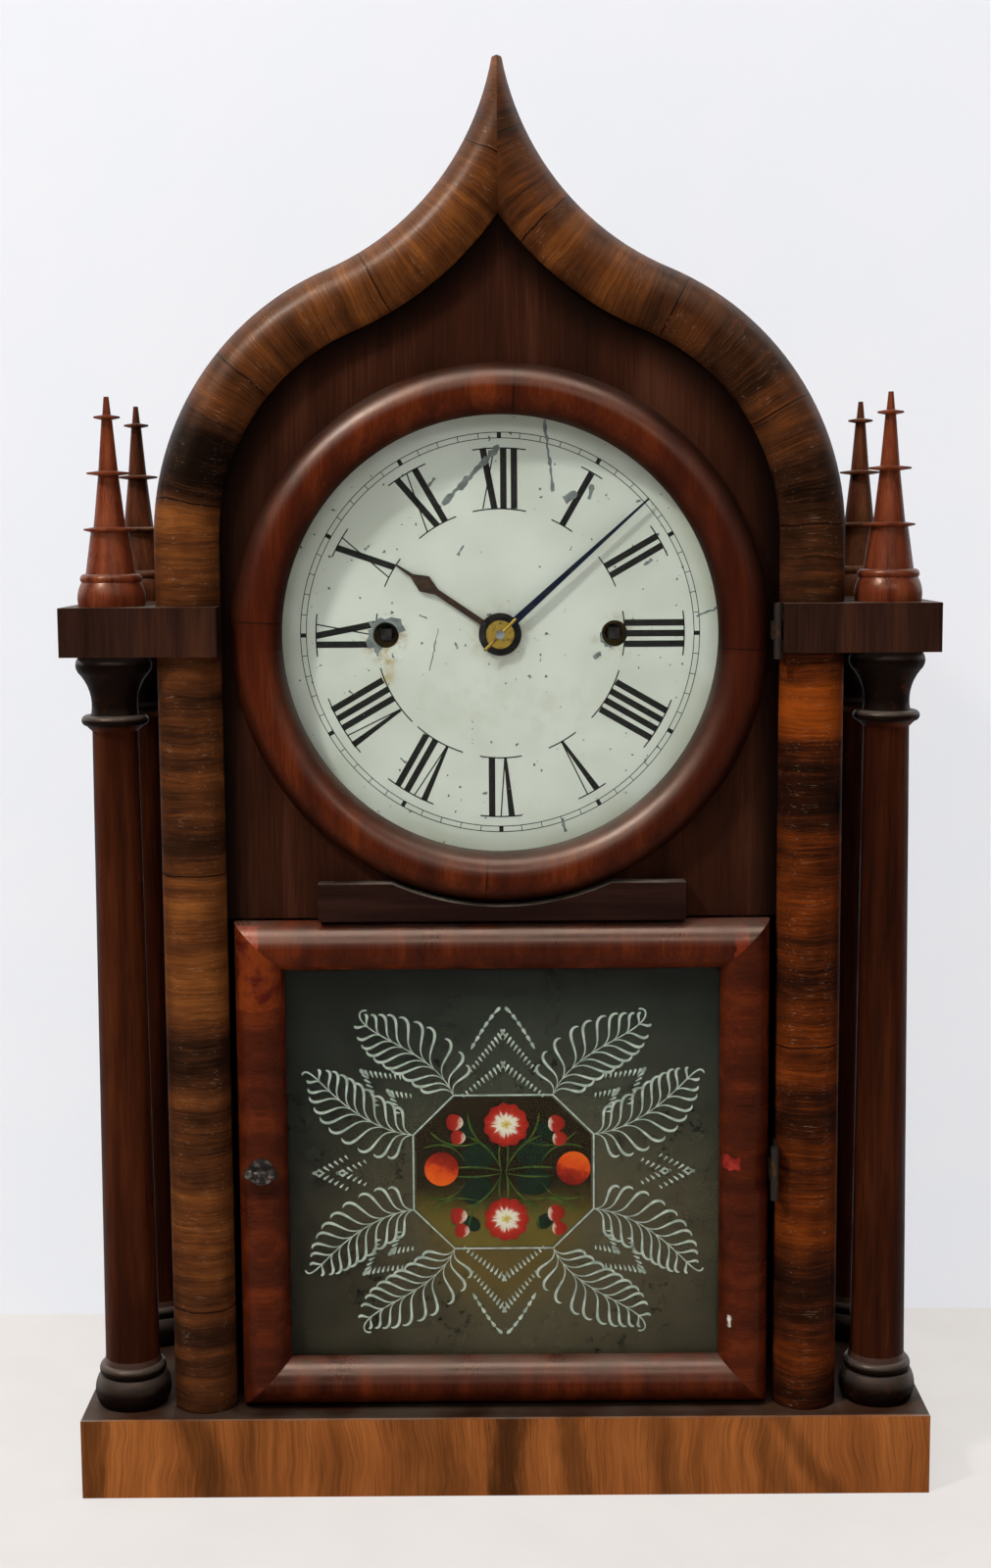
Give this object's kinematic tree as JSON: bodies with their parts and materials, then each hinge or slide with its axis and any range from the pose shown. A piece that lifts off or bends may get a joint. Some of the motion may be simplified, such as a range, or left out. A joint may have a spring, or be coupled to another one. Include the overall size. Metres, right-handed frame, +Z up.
{
  "type": "gothic shelf clock",
  "caption": "Gothic shelf clock with an ogee-arched case, turned columns and spire finials, a round glazed dial door over a painted glass tablet door, and a spring-driven striking movement.",
  "frame": {"origin": "middle of the plinth's underside, on the surface that the clock stands on", "axes": "+Z up, the dial faces -Y, +X to the right of a viewer in front"},
  "size_m": [0.307, 0.102, 0.508],
  "materials": {
    "plinth_veneer": "sawn mahogany veneer, worn varnish",
    "carcass_wood": "plain pine and cherry, stained",
    "dark_wood": "dark varnished wood",
    "cross_veneer": "cross-grained veneer, satin varnish",
    "turned_wood": "turned and varnished",
    "door_wood": "red mahogany, satin varnish",
    "dial_paint": "painted zinc, aged",
    "clear_glass": "clear pane",
    "tablet_glass": "reverse-painted pane",
    "brass": "aged brass",
    "steel": "arbor steel",
    "blued_steel": "blued hand",
    "rusty_steel": "rust-browned hand",
    "iron": "cast and wrought iron, dark"
  },
  "bodies": {
    "case": {"plinth_deck": "carcass_wood", "plinth_front_veneer": "plinth_veneer", "plinth_rails": "carcass_wood", "case_sides": "carcass_wood", "hood_left": "carcass_wood", "hood_right": "carcass_wood", "backboard": "carcass_wood", "front_panel": "dark_wood", "pilaster_left": "cross_veneer", "pilaster_right": "cross_veneer", "arch_moulding_left": "cross_veneer", "arch_moulding_right": "cross_veneer", "cap_block_left": "dark_wood", "cap_block_right": "dark_wood", "columns_front": "turned_wood", "columns_rear": "turned_wood", "finials_front": "turned_wood", "finials_rear": "turned_wood", "cradle_strip": "dark_wood", "hinge_case_leaves": "brass", "dial": "dial_paint", "movement_front_plate": "brass", "movement_back_plate": "brass", "movement_pillars": "steel", "mainsprings": "steel", "suspension_cock": "brass", "gong_coil": "steel", "gong_base": "iron"},
    "bezel_door": {"bezel_ring": "door_wood", "bezel_glass": "clear_glass", "bezel_hinge_door_leaf": "brass"},
    "tablet_door": {"door_top_rail": "door_wood", "door_bottom_rail": "door_wood", "door_left_stile": "door_wood", "door_right_stile": "door_wood", "tablet_glass": "tablet_glass", "door_hinge_door_leaf": "brass", "latch_plate": "brass"},
    "latch": {"latch_turn": "brass"},
    "minute": {"centre_arbor": "steel", "minute_hand": "blued_steel", "hand_washer_and_pin": "brass"},
    "hour": {"hour_wheel": "brass", "hour_hand": "rusty_steel"},
    "motion": {"minute_wheel": "brass"},
    "time_great": {"time_great_wheel": "brass"},
    "time_winding": {"time_winding_arbor": "steel"},
    "centre": {"centre_wheel": "brass"},
    "third": {"third_wheel": "brass"},
    "escape": {"escape_wheel": "brass"},
    "pendulum": {"pendulum_rod": "steel", "pendulum_bob": "brass", "rating_nut": "brass"},
    "verge": {"verge": "steel"},
    "strike_great": {"strike_great_wheel": "brass"},
    "strike_winding": {"strike_winding_arbor": "steel"},
    "strike_pin": {"strike_pin_wheel": "brass"},
    "strike_warning": {"strike_warning_wheel": "brass"},
    "fly": {"fly": "brass"},
    "hammer": {"hammer": "steel"}
  },
  "joints": [
    {"name": "bezel_swing", "type": "hinge", "parent": "case", "child": "bezel_door", "pos_m": [0.09655, -0.0456, 0.3124], "axis": [0, 0, 1], "range_deg": [0, 110]},
    {"name": "tablet_door_swing", "type": "hinge", "parent": "case", "child": "tablet_door", "pos_m": [0.0971, -0.0456, 0.118], "axis": [0, 0, 1], "range_deg": [0, 130]},
    {"name": "latch_turn", "type": "hinge", "parent": "tablet_door", "child": "latch", "pos_m": [-0.087, -0.04, 0.1195], "axis": [0, 1, 0], "range_deg": [0, 90]},
    {"name": "minute_turn", "type": "hinge", "parent": "case", "child": "minute", "pos_m": [0, 0, 0.311], "axis": [0, 1, 0], "continuous": true},
    {"name": "hour_turn", "type": "hinge", "parent": "case", "child": "hour", "pos_m": [0, 0, 0.311], "axis": [0, 1, 0], "continuous": true},
    {"name": "motion_turn", "type": "hinge", "parent": "case", "child": "motion", "pos_m": [-0.01697, 0, 0.29403], "axis": [0, 1, 0], "continuous": true},
    {"name": "third_turn", "type": "hinge", "parent": "case", "child": "third", "pos_m": [-0.01, 0, 0.33715], "axis": [0, 1, 0], "continuous": true},
    {"name": "centre_turn", "type": "hinge", "parent": "case", "child": "centre", "pos_m": [0, 0, 0.311], "axis": [0, 1, 0], "continuous": true},
    {"name": "time_great_turn", "type": "hinge", "parent": "case", "child": "time_great", "pos_m": [0.0407, 0, 0.311], "axis": [0, 1, 0], "continuous": true},
    {"name": "escape_turn", "type": "hinge", "parent": "case", "child": "escape", "pos_m": [0, 0, 0.35759], "axis": [0, 1, 0], "continuous": true},
    {"name": "time_wind", "type": "hinge", "parent": "time_great", "child": "time_winding", "pos_m": [0.0407, 0, 0.311], "axis": [0, 1, 0], "continuous": true},
    {"name": "pendulum_swing", "type": "hinge", "parent": "case", "child": "pendulum", "pos_m": [0, 0, 0.37559], "axis": [0, 1, 0], "range_deg": [-3, 3]},
    {"name": "verge_rock", "type": "hinge", "parent": "case", "child": "verge", "pos_m": [0, 0, 0.37559], "axis": [0, 1, 0], "range_deg": [-3, 3]},
    {"name": "warning_turn", "type": "hinge", "parent": "case", "child": "strike_warning", "pos_m": [-0.03819, 0, 0.26572], "axis": [0, 1, 0], "continuous": true},
    {"name": "pin_wheel_turn", "type": "hinge", "parent": "case", "child": "strike_pin", "pos_m": [-0.01738, 0, 0.28446], "axis": [0, 1, 0], "continuous": true},
    {"name": "strike_great_turn", "type": "hinge", "parent": "case", "child": "strike_great", "pos_m": [-0.0407, 0, 0.311], "axis": [0, 1, 0], "continuous": true},
    {"name": "fly_turn", "type": "hinge", "parent": "case", "child": "fly", "pos_m": [-0.05769, 0, 0.26916], "axis": [0, 1, 0], "continuous": true},
    {"name": "strike_wind", "type": "hinge", "parent": "strike_great", "child": "strike_winding", "pos_m": [-0.0407, 0, 0.311], "axis": [0, 1, 0], "continuous": true},
    {"name": "hammer_swing", "type": "hinge", "parent": "case", "child": "hammer", "pos_m": [0.01, 0, 0.259], "axis": [0, -1, 0], "range_deg": [0, 12]}
  ],
  "couplings": [
    {"joint": "motion_turn", "follows": "minute_turn", "ratio": -0.33333},
    {"joint": "hour_turn", "follows": "minute_turn", "ratio": 0.083333},
    {"joint": "centre_turn", "follows": "third_turn", "ratio": -0.11111},
    {"joint": "time_great_turn", "follows": "third_turn", "ratio": 0.0092593},
    {"joint": "escape_turn", "follows": "third_turn", "ratio": -10.667},
    {"joint": "verge_rock", "follows": "pendulum_swing", "ratio": 1},
    {"joint": "pin_wheel_turn", "follows": "warning_turn", "ratio": -0.11111},
    {"joint": "strike_great_turn", "follows": "warning_turn", "ratio": 0.010802},
    {"joint": "fly_turn", "follows": "warning_turn", "ratio": -10}
  ]
}
